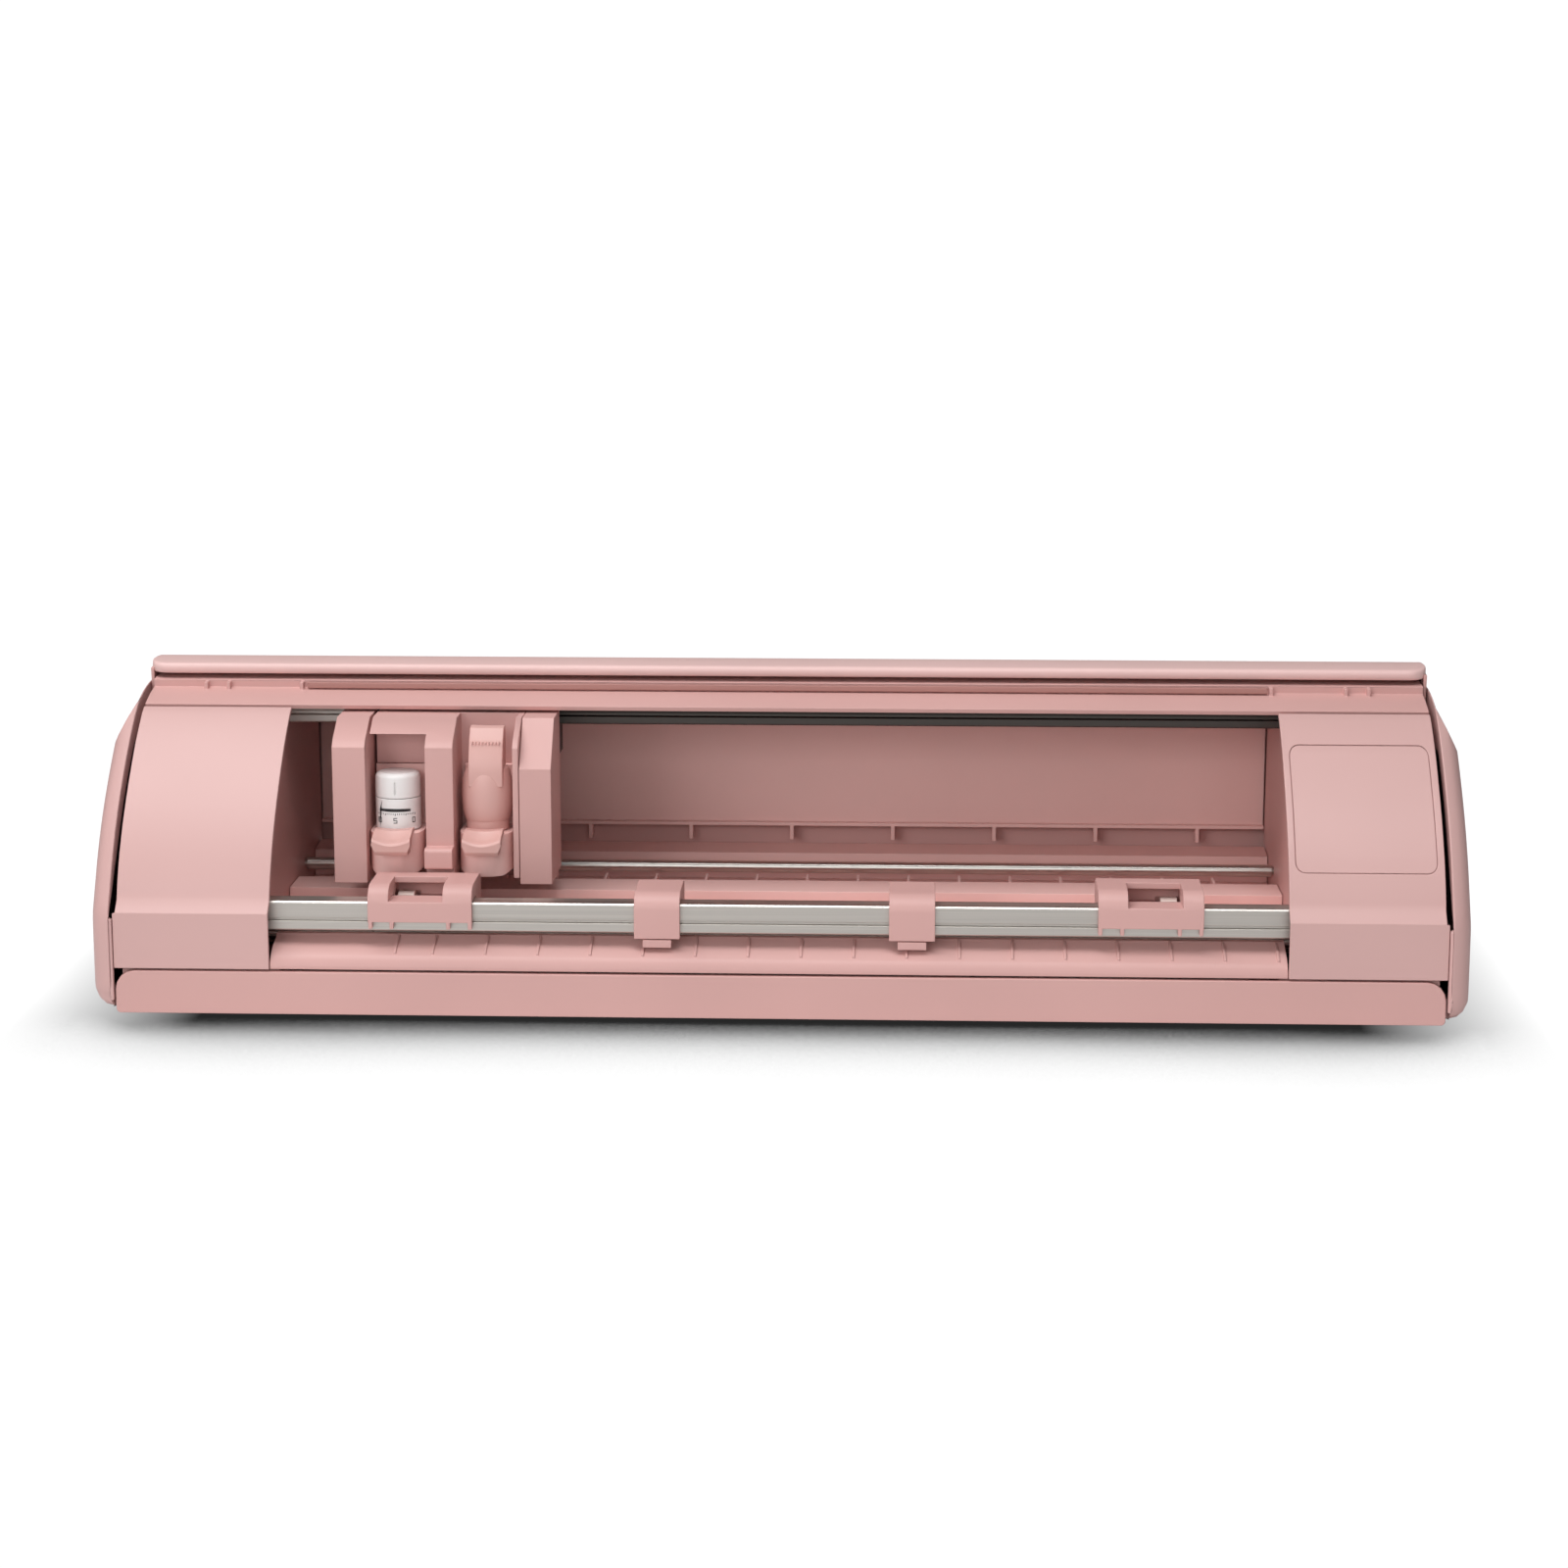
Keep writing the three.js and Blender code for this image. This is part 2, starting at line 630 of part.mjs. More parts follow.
function pinchRollers() {
  const right = (solid) => mirrored(solid).translate([7, 0, 0]);
  piece("pinch_housing_left", pinchHousing(), PINK);
  piece("pinch_housing_right", right(pinchHousing()), PINK);
  piece("pinch_roller_left", pinchRoller(), NYLON);
  piece("pinch_roller_right", right(pinchRoller()), NYLON);
  const roller = join(
    rod("x", CLIP_ROLLER, CLIP_ROLLER_R, [-3.6, 3.6], 24),
    rod("x", CLIP_ROLLER, 1.2, [-7, 7], 16),
  );
  const hook = [
    [5.8, 34.2],
    [5.8, 37.9],
    [8.8, 37.9],
    [8.8, 39.9],
    [12.6, 39.9],
    [12.6, 38.2],
    [9.6, 37.4],
    [8.4, 34.2],
  ];
  const latch = sweep("x", hook, [-6.7, 6.7]);
  for (const [side, x] of [["left", -55.9], ["right", 63.2]]) {
    piece("middle_clip_" + side, middleClip().translate([x, 0, 0]), PINK);
    piece("clip_roller_" + side, roller.translate([x, 0, 0]), NYLON);
    piece("clip_latch_" + side, latch.translate([x, 0, 0]), PINK);
  }
}

// ---- carriage ----
function carriageBody() {
  const side = (foot, brow) => [
    [46, foot],
    [46, brow],
    [49, brow + 3.4],
    [64, 132.8],
    [88, 132.8],
    [88, foot],
  ];
  const inside = (x, brow) => sweep("x", [
    [48.4, 57],
    [48.4, brow - 1],
    [65, 130.4],
    [89, 130.4],
    [89, 57],
  ], x);
  piece(
    "carriage_left_cover",
    cut(sweep("x", side(55, 121), [-213.6, -197.8]), inside([-211.4, -200], 121)),
    PINK,
  );
  const guard = cut(sweep("x", side(55, 111), [-124.3, -109]), inside([-122.1, -111.2], 111));
  piece("carriage_right_cover", guard, PINK);

  const block = sweep("x", rounded([38.5, 50], [63.5, 73.4], [1, 0, 0, 2]), [-169.2, -155.8]);
  const lug = (x) => box([x - 6.6, x + 6.6], [75, 90], [53, 86]);
  const front = cut(
    join(sweep("x", side(58, 121), [-196.4, -124.6]), block),
    box([-197.4, -169.2], [44, 78.2], [50, 126.4]),
    box([-155.8, -127.4], [44, 78.2], [50, 140]),
    ...TOOL_X.map(lug),
  );
  const brow = box([-196.4, -168.8], [73.6, 78.6], [108.6, 126.8]);
  piece("carriage_front_cover", join(front, brow), PINK);

  const frame = join(
    box([-211.4, -110.6], [88.4, 99.4], [60, 132.8]),
    box([-211.4, -110.6], [99, 117], [108, 123.1]),
    box([-211.4, -110.6], [112.4, 117], [108, 133]),
    box([-173.2, -147.2], [116.8, 120.8], [124.9, 130.2]),
  );
  piece("carriage_frame", frame, DARK);
}

function toolHolder(x) {
  const plan = [
    ...range(0, 16).map((i) => {
      const a = radians(180 + (180 * i) / 16);
      return [x + 12.9 * Math.cos(a), 58 + 13.1 * Math.sin(a)];
    }),
    [x + 12.9, 77.6],
    [x - 12.9, 77.6],
  ];
  const bowl = sweep("y", [
    [x - 13, 61],
    [x - 9, 58.6],
    [x + 9, 58.6],
    [x + 13, 61],
    [x + 13, 79],
    [x - 13, 79],
  ], [40, 80]);
  return cut(
    join(
      sweep("z", plan, [58.6, 79]).intersect(bowl),
      box([x - 12.4, x + 12.4], [74.6, 77.6], [62, 108.1]),
      box([x - 6.2, x + 6.2], [77, 87.6], [62, 76]),
    ),
    rod("z", [x, TOOL_Y], 9.3, [50, 90], 32),
  );
}

function lockTab(x) {
  const outline = [
    [34.2, 72.6],
    [36, 70.6],
    [44.4, 70.6],
    [44.4, 79.3],
    [50.4, 79.3],
    [50.4, 82.3],
    [44.4, 82.3],
    [41, 80.6],
    [38.6, 77.6],
    [36.4, 76.2],
    [34.2, 76],
  ];
  const tab = sweep("x", outline, [x - 9.4, x + 9]);
  return cut(tab, rod("z", [x, 31.4], 4.2, [60, 74.4], 20));
}

function tools() {
  TOOL_X.forEach((x, i) => {
    piece("tool_holder_" + (i + 1), toolHolder(x), PINK);
    piece("lock_tab_" + (i + 1), lockTab(x), PALE_PINK);
  });
  const [blade, spare] = TOOL_X;
  const barrel = turned([blade, TOOL_Y], [
    [0, 47.4],
    [2.4, 47.4],
    [3.2, 50.4],
    [6.6, 54],
    [9, 57.4],
    [9, 79.3],
    [TOOL_R - 0.4, 79.3],
    [TOOL_R, 79.8],
    [TOOL_R, 94.8],
    [0, 94.8],
  ], 40);
  const slit = box([blade - 7.6, blade + 7.2], [TOOL_Y - 12, TOOL_Y - 7.4], [88.8, 90]);
  piece("blade_barrel", cut(barrel, slit), WHITE);
  const dial = turned([blade, TOOL_Y], [
    [0, 95.1],
    [TOOL_R, 95.1],
    [TOOL_R, 104.6],
    [TOOL_R - 0.6, 106],
    [TOOL_R - 2, 106.9],
    [0, 107.1],
  ], 40);
  const mark = box([blade - 0.3, blade + 0.3], [TOOL_Y - 12, TOOL_Y - 10.4], [97, 103]);
  piece("blade_dial", cut(dial, mark), WHITE);

  const plug = turned([spare, TOOL_Y], [
    [0, 57],
    [8, 57],
    [9, 58],
    [9, 79.3],
    [10.4, 79.3],
    [10.4, 84],
    [12.3, 84.8],
    [12.3, 110.6],
    [11.5, 112],
    [0, 112],
  ], 40);
  const tongue = sweep("x", [
    [51.6, 109],
    [52.4, 114],
    [55.4, 122],
    [60.4, 129],
    [64.4, 129.6],
    [66, 127],
    [66, 109],
  ], [spare - 8, spare + 9]);
  piece("tool_adapter", join(plug, tongue), PALE_PINK);
}

piece("base_pan", basePan(), PINK);
for (const [name, x, y] of [
  ["foot_front_left", -270, 25],
  ["foot_front_right", 270, 25],
  ["foot_rear_left", -270, 172],
  ["foot_rear_right", 270, 172],
])
  piece(name, rod("z", [x, y], 9, [0, FOOT]), RUBBER);
covers();
topAndRear();
bulkheads();
sheetPath();
barAndRail();
drives();
lid();
drawer();
pinchRollers();
carriageBody();
tools();

export default machine;
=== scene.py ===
"""Desktop vinyl cutter, roll-top lid open, as detailed pieces riding on the CAD bodies."""
import json
import math

import bmesh
import bpy
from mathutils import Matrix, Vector


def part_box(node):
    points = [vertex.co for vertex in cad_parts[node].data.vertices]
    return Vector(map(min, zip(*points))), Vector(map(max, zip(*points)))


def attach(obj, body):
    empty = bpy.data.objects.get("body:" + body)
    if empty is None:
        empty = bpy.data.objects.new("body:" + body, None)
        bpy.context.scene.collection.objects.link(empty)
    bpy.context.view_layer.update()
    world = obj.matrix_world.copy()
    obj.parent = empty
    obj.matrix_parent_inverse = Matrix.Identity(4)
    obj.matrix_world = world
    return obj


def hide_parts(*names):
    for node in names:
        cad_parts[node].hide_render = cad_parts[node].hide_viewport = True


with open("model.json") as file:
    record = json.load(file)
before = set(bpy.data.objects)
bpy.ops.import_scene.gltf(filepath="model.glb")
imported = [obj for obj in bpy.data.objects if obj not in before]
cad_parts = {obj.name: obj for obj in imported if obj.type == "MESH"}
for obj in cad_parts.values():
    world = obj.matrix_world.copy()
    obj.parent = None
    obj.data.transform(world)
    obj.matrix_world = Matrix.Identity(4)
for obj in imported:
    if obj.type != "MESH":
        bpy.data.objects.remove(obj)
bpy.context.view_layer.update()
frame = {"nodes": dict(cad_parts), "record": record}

NODES = frame["nodes"]
BODY_OF = {node: body for body, nodes in frame["record"]["behaviour"]["bodies"].items() for node in nodes}
SLOT_OF = {part["node"]: part["material_slot"] for part in frame["record"]["subparts"]}


# ---- materials ----
def srgb(*rgb):
    return tuple((v / 255 / 12.92) if v <= 10 else ((v / 255 + 0.055) / 1.055) ** 2.4 for v in rgb)


def new_material(name):
    material = bpy.data.materials.new(name)
    material.use_nodes = True
    nodes = material.node_tree.nodes
    shader = nodes["Principled BSDF"]
    return material, nodes, material.node_tree.links, shader


def noise(nodes, links, vector, scale, detail=3.0, roughness=0.55):
    n = nodes.new("ShaderNodeTexNoise")
    n.inputs["Scale"].default_value = scale
    n.inputs["Detail"].default_value = detail
    n.inputs["Roughness"].default_value = roughness
    links.new(vector, n.inputs["Vector"])
    return n.outputs["Fac"]


def remap(nodes, links, value, low, high, source=(0.3, 0.7)):
    m = nodes.new("ShaderNodeMapRange")
    m.inputs["From Min"].default_value, m.inputs["From Max"].default_value = source
    m.inputs["To Min"].default_value, m.inputs["To Max"].default_value = low, high
    links.new(value, m.inputs["Value"])
    return m.outputs["Result"]


def tinted(nodes, links, value, colour, spread, source=(0.3, 0.7)):
    mix = nodes.new("ShaderNodeMix")
    mix.data_type = "RGBA"
    low = tuple(max(0.0, c * (1 - spread)) for c in colour)
    high = tuple(min(1.0, c * (1 + spread)) for c in colour)
    mix.inputs["A"].default_value = (*low, 1)
    mix.inputs["B"].default_value = (*high, 1)
    links.new(remap(nodes, links, value, 0.0, 1.0, source), mix.inputs["Factor"])
    return mix.outputs["Result"]


def moulded(name, colour, rough=(0.42, 0.54), grain=1500.0, depth=0.00004, spread=0.03, specular=0.45):
    """Injection-moulded plastic: a fine eroded grain, faint flow marks and small changes of tone."""
    material, nodes, links, shader = new_material(name)
    place = nodes.new("ShaderNodeTexCoord").outputs["Object"]
    broad = noise(nodes, links, place, 9.0, 2.0)
    fine = noise(nodes, links, place, grain, 2.0, 0.6)
    links.new(tinted(nodes, links, broad, colour, spread), shader.inputs["Base Color"])
    links.new(remap(nodes, links, fine, *rough), shader.inputs["Roughness"])
    bump = nodes.new("ShaderNodeBump")
    bump.inputs["Strength"].default_value = 0.35
    bump.inputs["Distance"].default_value = depth
    links.new(fine, bump.inputs["Height"])
    links.new(bump.outputs["Normal"], shader.inputs["Normal"])
    shader.inputs["Specular IOR Level"].default_value = specular
    return material


def brushed(name, colour, rough=(0.24, 0.42), stretch=(3.0, 900.0, 900.0), spread=0.1):
    """Metal brushed along X: long scratches in tone, roughness and relief."""
    material, nodes, links, shader = new_material(name)
    place = nodes.new("ShaderNodeTexCoord").outputs["Object"]
    mapping = nodes.new("ShaderNodeMapping")
    mapping.inputs["Scale"].default_value = stretch
    links.new(place, mapping.inputs["Vector"])
    lines = noise(nodes, links, mapping.outputs["Vector"], 1.6, 4.0, 0.65)
    links.new(tinted(nodes, links, lines, colour, spread), shader.inputs["Base Color"])
    links.new(remap(nodes, links, lines, *rough), shader.inputs["Roughness"])
    bump = nodes.new("ShaderNodeBump")
    bump.inputs["Strength"].default_value = 0.25
    bump.inputs["Distance"].default_value = 0.00003
    links.new(lines, bump.inputs["Height"])
    links.new(bump.outputs["Normal"], shader.inputs["Normal"])
    shader.inputs["Metallic"].default_value = 1.0
    shader.inputs["Anisotropic"].default_value = 0.45
    return material


MATERIALS = {
    "pink_plastic": moulded("pink_plastic", srgb(213, 167, 162)),
    "pale_pink_plastic": moulded("pale_pink_plastic", srgb(217, 171, 164), rough=(0.36, 0.46)),
    "white_plastic": moulded("white_plastic", srgb(238, 236, 235), rough=(0.34, 0.44), spread=0.012),
    "brushed_aluminium": brushed("brushed_aluminium", srgb(214, 210, 204)),
    "steel": brushed("steel", srgb(170, 167, 162), rough=(0.2, 0.34)),
    "dark_plastic": moulded("dark_plastic", srgb(52, 48, 49), rough=(0.5, 0.62)),
    "rubber": moulded("rubber", srgb(58, 55, 56), rough=(0.75, 0.9), grain=800.0, specular=0.3),
    "board": moulded("board", srgb(48, 98, 68), rough=(0.3, 0.5), grain=500.0, spread=0.12),
    "roller_plastic": moulded("roller_plastic", srgb(226, 206, 198), rough=(0.4, 0.55)),
}


def rail_painted_shade_and_reflection():
    """Painted shade and reflection: the rail's colour is dark along the bay, where the lid shades it, and
    bright at its left end, a painted reflection.
    """
    # painted shade: this dark aluminium colour stands for the rail's shaded run along the bay
    material = brushed("rail_aluminium_painted_shade", srgb(84, 80, 77), rough=(0.38, 0.55))
    nodes, links = material.node_tree.nodes, material.node_tree.links
    shader = nodes["Principled BSDF"]
    place = nodes.new("ShaderNodeSeparateXYZ")
    links.new(nodes.new("ShaderNodeTexCoord").outputs["Object"], place.inputs["Vector"])
    mix = nodes.new("ShaderNodeMix")
    mix.data_type = "RGBA"
    tone = shader.inputs["Base Color"].links[0].from_socket
    links.new(tone, mix.inputs["A"])
    # painted reflection: the bright colour at the rail's left end
    mix.inputs["B"].default_value = (*srgb(196, 192, 186), 1)
    links.new(remap(nodes, links, place.outputs["X"], 1.0, 0.0, (-0.205, -0.165)), mix.inputs["Factor"])
    links.new(mix.outputs["Result"], shader.inputs["Base Color"])
    return material


# painted light: a paler, less saturated copy of the pink for the covers, caps and touch panel, standing in
# for the light on the upper shell
LIT_SHELL = moulded("shell_plastic_painted_light", srgb(213, 172, 168), rough=(0.38, 0.5), spread=0.025)
# painted light: a paler copy of the pink for the rear wall, sheet platform and tool holders, standing in
# for light in the bay
LIT_LINING = moulded("lining_plastic_painted_light", srgb(250, 206, 200), rough=(0.4, 0.52))
# painted shade: a darker copy of the pink for the beam strip under the lid's lip, where the lid shades it
SHADED_STRIP = moulded("strip_plastic_painted_shade", srgb(176, 126, 119), rough=(0.36, 0.48))
# painted light: a paler copy of the pink for the lid, standing in for the top light on it
LIT_LID_SKIN = moulded("lid_plastic_painted_light", srgb(232, 195, 191), rough=(0.38, 0.5), spread=0.025)
BAR_METAL = brushed("bar_aluminium", srgb(198, 193, 187), rough=(0.3, 0.48))
INK = moulded("printed_ink", srgb(40, 38, 40), rough=(0.5, 0.6), spread=0.05)


# ---- mesh helpers ----
def add_object(name, mesh, material, body):
    obj = bpy.data.objects.new(name, mesh)
    bpy.context.scene.collection.objects.link(obj)
    mesh.materials.clear()
    mesh.materials.append(material)
    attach(obj, body)
    return obj


def soften(obj, width):
    bevel = obj.modifiers.new("edges", "BEVEL")
    bevel.width = width
    bevel.segments = 2
    bevel.limit_method = "ANGLE"
    bevel.angle_limit = math.radians(30.0)
    bevel.use_clamp_overlap = False
    bevel.miter_outer = "MITER_ARC"
    normals = obj.modifiers.new("normals", "WEIGHTED_NORMAL")
    normals.keep_sharp = False
    normals.weight = 60


def refined(node, width, material=None):
    """The node's own form with its flat facets joined and every edge rounded."""
    bm = bmesh.new()
    bm.from_mesh(NODES[node].data)
    bmesh.ops.remove_doubles(bm, verts=bm.verts, dist=2e-6)
    bmesh.ops.dissolve_limit(bm, angle_limit=math.radians(0.6), verts=bm.verts, edges=bm.edges)
    bmesh.ops.recalc_face_normals(bm, faces=bm.faces)
    for face in bm.faces:
        face.smooth = True
    mesh = bpy.data.meshes.new(node + "_moulding")
    bm.to_mesh(mesh)
    bm.free()
    slot = SLOT_OF[node]
    obj = add_object(node + "_moulding", mesh, material or MATERIALS[slot], BODY_OF[node])
    soften(obj, width / 1000)
    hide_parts(node)


# ---- forms built for the close view (millimetres, in the frame's own axes) ----
def ring_sweep(rings):
    """A closed skin through rings of equal point counts, with a face over each end."""
    count = len(rings[0])
    points = [p for ring in rings for p in ring]
    faces = []
    for r in range(len(rings) - 1):
        a, b = r * count, (r + 1) * count
        for i in range(count):
            j = (i + 1) % count
            faces.append((a + i, a + j, b + j, b + i))
    last = (len(rings) - 1) * count
    faces.append(tuple(reversed(range(count))))
    faces.append(tuple(range(last, last + count)))
    return points, faces


def grown(name, points, faces, material, body, slot, width=0.0):
    bm = bmesh.new()
    verts = [bm.verts.new([c / 1000 for c in p]) for p in points]
    for face in faces:
        bm.faces.new([verts[i] for i in face])
    bmesh.ops.recalc_face_normals(bm, faces=bm.faces)
    for face in bm.faces:
        face.smooth = True
    mesh = bpy.data.meshes.new(name)
    bm.to_mesh(mesh)
    bm.free()
    obj = add_object(name, mesh, material, body)
    if width:
        soften(obj, width / 1000)
    return obj


def bar(name, x, y, z, material, body, slot, width=0.2):
    corners = [(i, j, k) for i in x for j in y for k in z]
    faces = [(0, 1, 3, 2), (4, 6, 7, 5), (0, 4, 5, 1), (2, 3, 7, 6), (0, 2, 6, 4), (1, 5, 7, 3)]
    return grown(name, corners, faces, material, body, slot, width)


# ---- lid: one bent sheet with a rounded front lip ----
LID_PIVOT = (8, 38)
LID_R, LID_WALL, LID_HALF = 115.5, 2.5, 311.8
LID_FRONT, LID_SPAN = 97, 64.5  # degrees: front edge when open, and its reach over the back
LID_CORNER = 9.0


def lid_section():
    """(distance behind the front edge, radius) right round the sheet."""
    length = math.radians(LID_SPAN) * LID_R
    inner = LID_R - LID_WALL
    lip = [(3.2, inner), (2.5, inner - 0.5), (2.3, 111.6), (1.9, 110.9), (1.3, 110.5), (0.7, 110.7)]
    nose = [(0.25, 111.3), (0, 112.2), (0, 113.4), (0.3, 114.4), (1.0, 115.1), (2.0, LID_R)]
    run = [length * (i + 1) / 41 for i in range(40)]
    outer = [(d, LID_R) for d in run]
    tail = [(length - 0.5, LID_R), (length, LID_R - 0.6), (length, inner + 0.6), (length - 0.5, inner)]
    return lip + nose + outer + tail + [(d, inner) for d in reversed(run)], length


def lid():
    section, length = lid_section()
    depths = [0, 0.2, 0.8, 1.8, 3.2, 5.0, 7.0, LID_CORNER]
    steps = [-LID_HALF + d for d in depths] + [-150, 0, 150] + [LID_HALF - d for d in reversed(depths)]
    rings = []
    for x in steps:
        d = min(LID_HALF - abs(x), LID_CORNER)
        inset = LID_CORNER - math.sqrt(LID_CORNER ** 2 - (LID_CORNER - d) ** 2)
        ring = []
        for along, radius in section:
            reach = inset + along * (length - 2 * inset) / length
            a = math.radians(LID_FRONT) - reach / LID_R
            ring.append((x, LID_PIVOT[0] + radius * math.cos(a), LID_PIVOT[1] + radius * math.sin(a)))
        rings.append(ring)
    points, faces = ring_sweep(rings)
    shell = grown("lid_sheet", points, faces, LIT_LID_SKIN, BODY_OF["lid_shell"], SLOT_OF["lid_shell"])
    shell.modifiers.new("normals", "WEIGHTED_NORMAL")
    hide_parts("lid_shell")


# ---- tool axes, from the CAD ----
FRONT_TO_MIDDLE = 104.0  # depths in the outlines below are measured back from the front face


def axis_of(node):
    """The (x, y) of a turned node's upright axis, in millimetres."""
    low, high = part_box(node)
    return tuple(round((low[i] + high[i]) * 500, 2) for i in (0, 1))


BLADE_AXIS = axis_of("blade_barrel")
ADAPTER_AXIS = axis_of("tool_adapter")

# ---- blade tool: window, scale and numerals printed on the barrel ----
BARREL_R = 10.85
INK_LIFT = (-0.05, 0.05)
SEGMENTS = {"a": (0, 1, 1, 1), "b": (1, 0.5, 1, 1), "c": (1, 0, 1, 0.5), "d": (0, 0, 1, 0),
            "e": (0, 0, 0, 0.5), "f": (0, 0.5, 0, 1), "g": (0, 0.5, 1, 0.5)}
DIGITS = {"0": "abcdef", "1": "bc", "5": "afgcd"}
DIGIT_SIZE = (7.6, 2.3)  # degrees wide, mm tall
STROKE = (2.0, 0.36)  # degrees, mm
DIGIT_GAP = 3.4  # degrees
DIGIT_FOOT = 83.3
NUMERALS = (("10", -50), ("5", 0), ("0", 50))  # text and the angle of its middle
WINDOW_HALF = 40  # degrees
TICK_TOP, TICK_STEP, TICK_HALF = 87.9, 5.4, 0.8
TICK_LONG, TICK_SHORT = 1.0, 0.6


def on_barrel(angle, z, r):
    """A point on the blade tool; angle 0 faces the front, positive to the right."""
    a = math.radians(angle)
    return (BLADE_AXIS[0] + r * math.sin(a), BLADE_AXIS[1] - r * math.cos(a), z)


def barrel_strip(points, faces, stations):
    """Ink along the barrel through (angle, low z, high z) stations."""
    start = len(points)
    for a, low, high in stations:
        for z, lift in ((low, 0), (high, 0), (high, 1), (low, 1)):
            points.append(on_barrel(a, z, BARREL_R + INK_LIFT[lift]))
    for k in range(len(stations) - 1):
        at, to = start + 4 * k, start + 4 * k + 4
        faces += [(at + i, at + (i + 1) % 4, to + (i + 1) % 4, to + i) for i in range(4)]
    faces += [(start, start + 1, start + 2, start + 3), (to + 3, to + 2, to + 1, to)]


def window_station(angle):
    swell = 1 - (angle / WINDOW_HALF) ** 2
    return (angle, 88.9 - 0.1 * swell, 89.7 + 0.55 * swell)


def digit_strokes(points, faces, digit, left):
    for key in DIGITS[digit]:
        x0, z0, x1, z1 = SEGMENTS[key]
        a0 = left + x0 * DIGIT_SIZE[0] - STROKE[0] / 2
        a1 = left + x1 * DIGIT_SIZE[0] + STROKE[0] / 2
        low = DIGIT_FOOT + z0 * DIGIT_SIZE[1] - STROKE[1] / 2
        high = DIGIT_FOOT + z1 * DIGIT_SIZE[1] + STROKE[1] / 2
        barrel_strip(points, faces, [(a0 + (a1 - a0) * k / 2, low, high) for k in range(3)])


def blade_marks():
    points, faces = [], []
    angles = range(-WINDOW_HALF, WINDOW_HALF + 1, 4)
    barrel_strip(points, faces, [window_station(a) for a in angles])
    for i in range(-10, 11):
        foot = TICK_TOP - (TICK_LONG if i % 5 == 0 else TICK_SHORT)
        ends = (i * TICK_STEP - TICK_HALF, i * TICK_STEP + TICK_HALF)
        barrel_strip(points, faces, [(a, foot, TICK_TOP) for a in ends])
    pitch = DIGIT_SIZE[0] + DIGIT_GAP
    for text, centre in NUMERALS:
        left = centre - (len(text) * pitch - DIGIT_GAP) / 2
        for k, digit in enumerate(text):
            digit_strokes(points, faces, digit, left + k * pitch)
    grown("blade_scale", points, faces, INK, BODY_OF["blade_barrel"], SLOT_OF["blade_barrel"])


# ---- filler in the second holder: a barrel-shaped body with a ribbed tongue ----
ADAPTER_PROFILE = [  # (radius, z)
    (8, 57), (9, 58), (9, 79.3), (10.3, 79.4), (10.3, 84), (10.9, 85), (11.7, 88), (12.2, 92),
    (12.3, 96), (12.2, 100), (11.7, 104), (11.0, 107), (10.2, 109), (8.5, 109.6),
]
TONGUE = [  # (depth, z)
    (51.4, 101), (51.0, 108), (51.8, 114), (54.8, 121.4), (56.2, 123.6), (60.2, 128.4),
    (64.0, 129.2), (65.6, 127), (66, 101),
]
TONGUE_HALF, TONGUE_SHIFT, TONGUE_BOW = 8.2, 0.4, 0.5
RIB_COUNT, RIB_PITCH, RIB_HALF = 9, 1.6, 0.35
RIB_Y, RIB_Z = (-49.9, -47.4), (121.2, 122.6)
ROUND_STEPS = 48


def adapter():
    x, y = ADAPTER_AXIS
    body, slot = BODY_OF["tool_adapter"], SLOT_OF["tool_adapter"]
    material = MATERIALS[slot]
    turn = [2 * math.pi * i / ROUND_STEPS for i in range(ROUND_STEPS)]
    rings = [[(x + r * math.cos(a), y + r * math.sin(a), z) for a in turn] for r, z in ADAPTER_PROFILE]
    plug = grown("adapter_body", *ring_sweep(rings), material, body, slot, 0.25)
    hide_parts("tool_adapter")
    middle = x + TONGUE_SHIFT
    rings = [
        [(middle + t * TONGUE_HALF, depth - FRONT_TO_MIDDLE + TONGUE_BOW * t * t, z) for depth, z in TONGUE]
        for t in (-1, -0.5, 0, 0.5, 1)
    ]
    grown("adapter_tongue", *ring_sweep(rings), material, body, slot, 0.5)
    for i in range(RIB_COUNT):
        at = middle + (i - (RIB_COUNT - 1) / 2) * RIB_PITCH
        name = f"adapter_rib_{i + 1}"
        bar(name, (at - RIB_HALF, at + RIB_HALF), RIB_Y, RIB_Z, material, body, slot)


# ---- lock tabs: a scooped thumb rest, horned at both ends ----
TAB_STATIONS = 15
TAB_HALF = 9.2
TAB_FOOT = 73  # below this height the tab is narrower
TAB_FOOT_SCALE = 0.86


def tab_outline(rise):
    """(depth, z) round the tab, its top lifted by rise."""
    back = [(34.6, 72.6), (36, 70.8), (44.4, 70.6), (44.4, 79.2), (50.4, 79.2)]
    shelf = [(50.4, 81.4 + 0.3 * rise), (44.4, 81.6 + 0.3 * rise)]
    rest = [(41, 79.8 + rise), (38, 79 + rise), (35.4, 78.4 + rise), (34.4, 77.2 + rise)]
    return back + shelf + rest + [(34.6, 75.6 + 0.4 * rise)]


def lock_tab(node, x):
    rings = []
    for i in range(TAB_STATIONS):
        t = -1 + 2 * i / (TAB_STATIONS - 1)
        half = TAB_HALF - 1.4 * (1 - abs(t))
        rings.append([
            (x + t * half * (TAB_FOOT_SCALE if z < TAB_FOOT else 1.0), depth - FRONT_TO_MIDDLE, z)
            for depth, z in tab_outline(2.6 * t * t - 1.9)
        ])
    points, faces = ring_sweep(rings)
    slot = SLOT_OF[node]
    tab = grown(node + "_scoop", points, faces, MATERIALS[slot], BODY_OF[node], slot, 0.3)
    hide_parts(node)


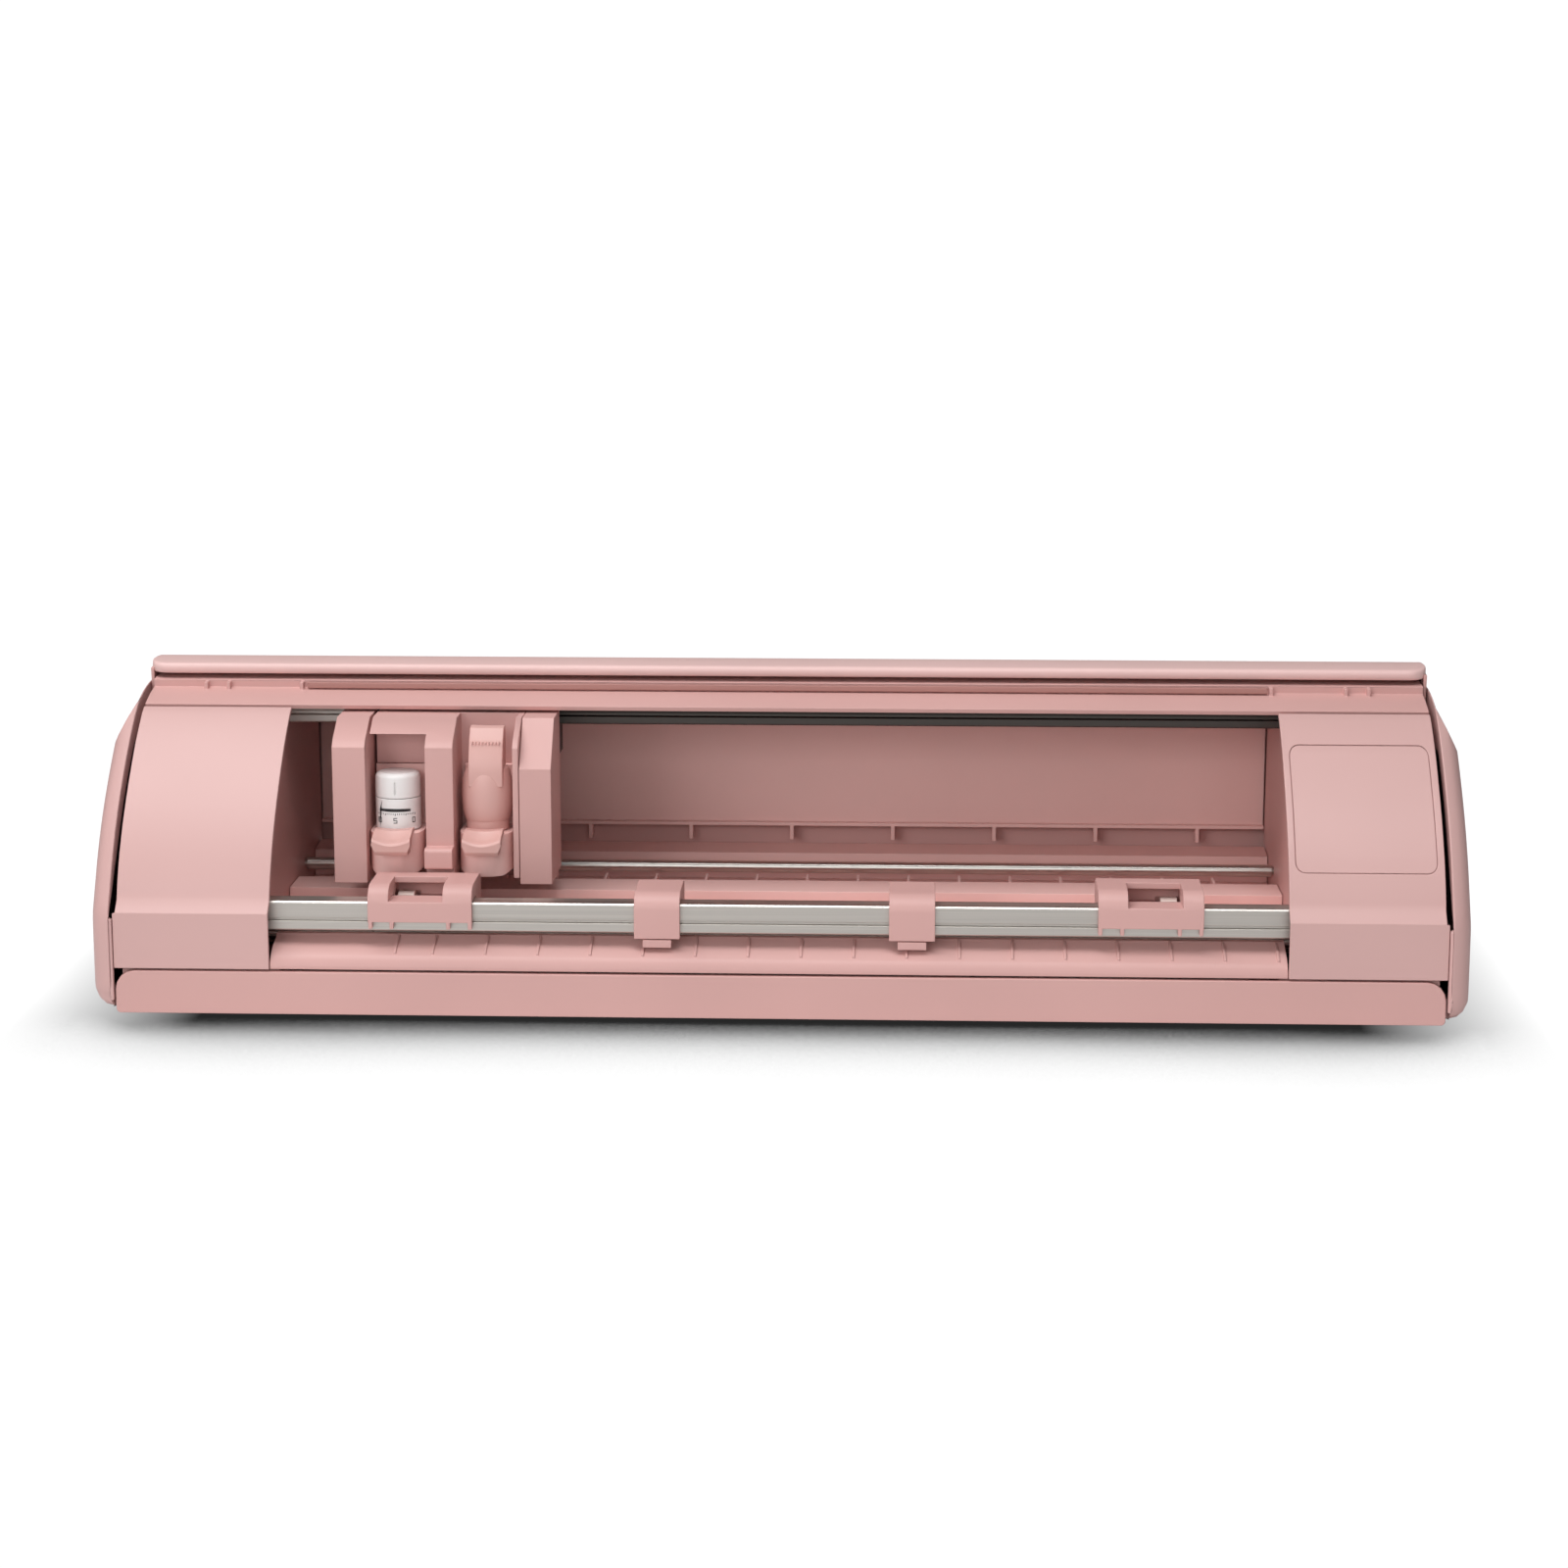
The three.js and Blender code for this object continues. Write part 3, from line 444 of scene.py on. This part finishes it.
# ---- every other node keeps its CAD form, refined ----
PLAIN_EDGE = 0.35  # mm, the rounding of an edge where no other is given
EDGE_WIDTH = {
    "left_cap": 0.5,
    "right_cap": 0.5,
    "feeder_drawer": 0.6,
    "pinch_bar": 0.25,
    "carriage_rail": 0.25,
    "touch_panel": 0.15,
    "front_tray": 0.2,
    "sheet_platform": 0.25,
    "roller_gear": 0.12,
    "motor_pinion": 0.12,
    "beam_strip": 0.4,
    "cutting_strip": 0.2,
}
BUILT = {"lid_shell", "lock_tab_1", "lock_tab_2", "tool_adapter"}
SHELL_NODES = ("left_cover", "right_cover", "left_cap", "right_cap", "touch_panel")
# these nodes take the paler copy of the pink, painted light
LINING_NODES = ("rear_wall", "sheet_platform", "tool_holder_1", "tool_holder_2")
# finishes per node; the rail, strip, shell and lining entries are painted light and shade
FINISH_AND_PAINTED_LIGHT_OF = {"carriage_rail": rail_painted_shade_and_reflection(), "pinch_bar": BAR_METAL, "beam_strip": SHADED_STRIP}
FINISH_AND_PAINTED_LIGHT_OF.update(dict.fromkeys(SHELL_NODES, LIT_SHELL))
FINISH_AND_PAINTED_LIGHT_OF.update(dict.fromkeys(LINING_NODES, LIT_LINING))
for cad_node in sorted(set(NODES) - BUILT):
    refined(cad_node, EDGE_WIDTH.get(cad_node, PLAIN_EDGE), FINISH_AND_PAINTED_LIGHT_OF.get(cad_node))
lid()
blade_marks()
adapter()
lock_tab("lock_tab_1", BLADE_AXIS[0])
lock_tab("lock_tab_2", ADAPTER_AXIS[0])


# ---- studio ----
# painted shadow: ambient occlusion darkens the paper's emission round the foot of the machine
SHADE_REACH = 0.13
SHADE_RANGE = (0.61, 0.98)
SHADE_END = (0.27, 0.36)  # metres from the centre, where the shadow under the machine fades out
# the dark end is the depth of the painted shadow, the white end the open paper
PAINTED_SHADOW_DARKEST, PAPER_WHITE = 0.02, 1.05
BACKDROP = (0.14, 1.1)  # strength of the surroundings as a light, and as the lens sees them
LAMPS = {  # place, aim, size, watts
    "key_panel": ((-1.35, -2.2, 0.95), (0, 0, 0.06), (1.2, 1.0), 11),
    "top_panel": ((-0.4, -0.55, 1.85), (0, 0.0, 0.05), (2.2, 0.9), 33),
    "front_panel": ((-0.2, -2.2, 0.7), (0, 0, 0.08), (1.8, 0.6), 8),
}


def math_node(nodes, operation):
    node = nodes.new("ShaderNodeMath")
    node.operation = operation
    return node


def paper_with_painted_shadow(nodes, links, place):
    """White paper with a painted shadow that falls off softly round the foot of the machine, but not past
    its ends.
    """
    shade = nodes.new("ShaderNodeAmbientOcclusion")
    shade.samples = 12
    shade.inputs["Distance"].default_value = SHADE_REACH
    soft = nodes.new("ShaderNodeMapRange")
    soft.interpolation_type = "SMOOTHSTEP"
    soft.inputs["From Min"].default_value, soft.inputs["From Max"].default_value = SHADE_RANGE
    soft.inputs["To Min"].default_value = PAINTED_SHADOW_DARKEST
    soft.inputs["To Max"].default_value = PAPER_WHITE
    links.new(shade.outputs["AO"], soft.inputs["Value"])
    split = nodes.new("ShaderNodeSeparateXYZ")
    links.new(place, split.inputs["Vector"])
    reach = math_node(nodes, "ABSOLUTE")
    links.new(split.outputs["X"], reach.inputs[0])
    lighter = math_node(nodes, "MAXIMUM")
    links.new(soft.outputs["Result"], lighter.inputs[0])
    links.new(remap(nodes, links, reach.outputs[0], 0.0, PAPER_WHITE, SHADE_END), lighter.inputs[1])
    return lighter.outputs[0]


def floor_material():
    material, nodes, links, shader = new_material("floor_paper_painted_shadow")
    place = nodes.new("ShaderNodeTexCoord").outputs["Object"]
    fine = noise(nodes, links, place, 300.0)
    links.new(tinted(nodes, links, fine, (0.85, 0.85, 0.85), 0.004), shader.inputs["Base Color"])
    shader.inputs["Roughness"].default_value = 0.9
    shader.inputs["Specular IOR Level"].default_value = 0.1
    # the camera sees this emission, which carries the painted shadow; other rays see the diffuse paper
    paper = nodes.new("ShaderNodeEmission")
    links.new(paper_with_painted_shadow(nodes, links, place), paper.inputs["Strength"])
    seen = nodes.new("ShaderNodeLightPath")
    choice = nodes.new("ShaderNodeMixShader")
    links.new(seen.outputs["Is Camera Ray"], choice.inputs["Fac"])
    links.new(shader.outputs["BSDF"], choice.inputs[1])
    links.new(paper.outputs["Emission"], choice.inputs[2])
    links.new(choice.outputs["Shader"], nodes["Material Output"].inputs["Surface"])
    return material


def floor():
    mesh = bpy.data.meshes.new("floor")
    mesh.from_pydata([(-8, -6, 0), (8, -6, 0), (8, 10, 0), (-8, 10, 0)], [], [(0, 1, 2, 3)])
    mesh.materials.append(floor_material())
    sheet = bpy.data.objects.new("floor", mesh)
    bpy.context.scene.collection.objects.link(sheet)


def surroundings():
    world = bpy.data.worlds.new("studio")
    world.use_nodes = True
    tree = world.node_tree
    back = tree.nodes["Background"]
    seen = tree.nodes.new("ShaderNodeLightPath")
    strength = tree.nodes.new("ShaderNodeMapRange")
    strength.inputs["To Min"].default_value, strength.inputs["To Max"].default_value = BACKDROP
    tree.links.new(seen.outputs["Is Camera Ray"], strength.inputs["Value"])
    tree.links.new(strength.outputs["Result"], back.inputs["Strength"])
    back.inputs["Color"].default_value = (1, 1, 1, 1)
    bpy.context.scene.world = world


def lamps():
    for name, (place, aim, size, watts) in LAMPS.items():
        light = bpy.data.lights.new(name, "AREA")
        light.shape = "RECTANGLE"
        light.size, light.size_y = size
        light.energy = watts
        obj = bpy.data.objects.new(name, light)
        obj.location = place
        towards = Vector(aim) - Vector(place)
        obj.rotation_euler = towards.to_track_quat("-Z", "Y").to_euler()
        bpy.context.scene.collection.objects.link(obj)


def camera():
    data = bpy.data.cameras.new("camera")
    data.sensor_width = 36
    data.lens = 76.275
    data.clip_start = 0.05
    data.clip_end = 30
    obj = bpy.data.objects.new("camera", data)
    obj.location = (0.0622, -1.604, 0.4056)
    obj.rotation_euler = (math.radians(90 - 11.0), 0, math.radians(2.23))
    bpy.context.scene.collection.objects.link(obj)
    bpy.context.scene.camera = obj


floor()
surroundings()
lamps()
camera()
bpy.context.scene.view_settings.view_transform = "Standard"
bpy.context.scene.view_settings.look = "None"
